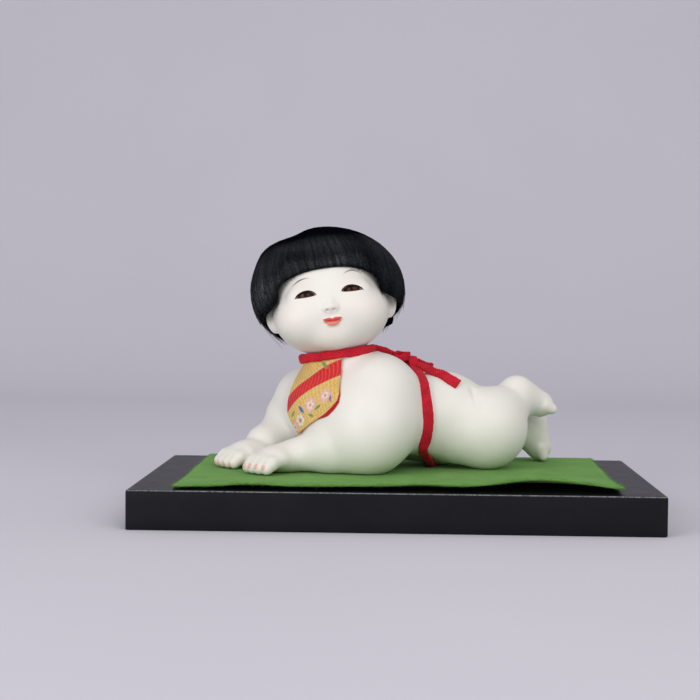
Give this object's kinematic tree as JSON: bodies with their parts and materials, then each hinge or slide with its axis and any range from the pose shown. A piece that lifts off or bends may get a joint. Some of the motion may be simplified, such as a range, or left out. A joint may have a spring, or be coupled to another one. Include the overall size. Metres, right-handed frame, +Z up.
{
  "type": "crawling baby doll",
  "caption": "Crawling baby doll with a plugged-in turning head, bowl-cut hair, brocade bib and red crepe ties, lying on a felt mat on a black lacquered stand.",
  "frame": {"origin": "centre of the stand's underside", "axes": "+Z up, +X along the stand's length towards the doll's feet, -Y the side that the doll's face looks to"},
  "size_m": [0.3, 0.18, 0.1734],
  "materials": {
    "black_lacquer": "black lacquer, satin gloss",
    "bare_wood": "bare wood",
    "green_felt": "felt",
    "shell_white": "moulded wood paste under a white shell-powder coat, satin",
    "red_crepe": "silk crepe",
    "brocade": "woven brocade with gold thread",
    "eye_glass": "polished glass",
    "black_hair": "silk strands"
  },
  "bodies": {
    "stand": {"stand_top_board": "black_lacquer", "stand_front_rail": "black_lacquer", "stand_back_rail": "black_lacquer", "stand_left_rail": "black_lacquer", "stand_right_rail": "black_lacquer", "stand_glue_block_front_left": "bare_wood", "stand_glue_block_front_right": "bare_wood", "stand_glue_block_back_left": "bare_wood", "stand_glue_block_back_right": "bare_wood"},
    "mat": {"felt_mat": "green_felt"},
    "doll": {"torso_back_half": "shell_white", "torso_belly_half": "shell_white", "left_arm": "shell_white", "right_arm": "shell_white", "left_leg": "shell_white", "right_leg": "shell_white", "left_arm_dowel": "bare_wood", "right_arm_dowel": "bare_wood", "left_leg_dowel": "bare_wood", "right_leg_dowel": "bare_wood", "neck_band": "red_crepe", "bib_lining": "red_crepe", "bib_brocade_face": "brocade", "bow_knot": "red_crepe", "waist_band": "red_crepe", "back_cord": "red_crepe", "bow_tail_left": "red_crepe", "bow_tail_right": "red_crepe", "bow_loop_left": "red_crepe", "bow_loop_right": "red_crepe"},
    "head": {"head_face_half": "shell_white", "head_back_half": "shell_white", "left_eye": "eye_glass", "right_eye": "eye_glass", "neck_dowel": "bare_wood", "hair_fringe": "black_hair", "hair_crown": "black_hair", "hair_back": "black_hair"}
  },
  "joints": [
    {"name": "mat_lift", "type": "slide", "parent": "stand", "child": "mat", "axis": [0, 0, 1], "range_m": [0, 0.04]},
    {"name": "doll_lift", "type": "slide", "parent": "mat", "child": "doll", "axis": [0, 0, 1], "range_m": [0, 0.06]},
    {"name": "head_turn", "type": "hinge", "parent": "doll", "child": "head", "pos_m": [-0.03715, 0.01077, 0.0961], "axis": [-0.1476, -0.0077, 0.989], "range_deg": [-72, 20]}
  ]
}
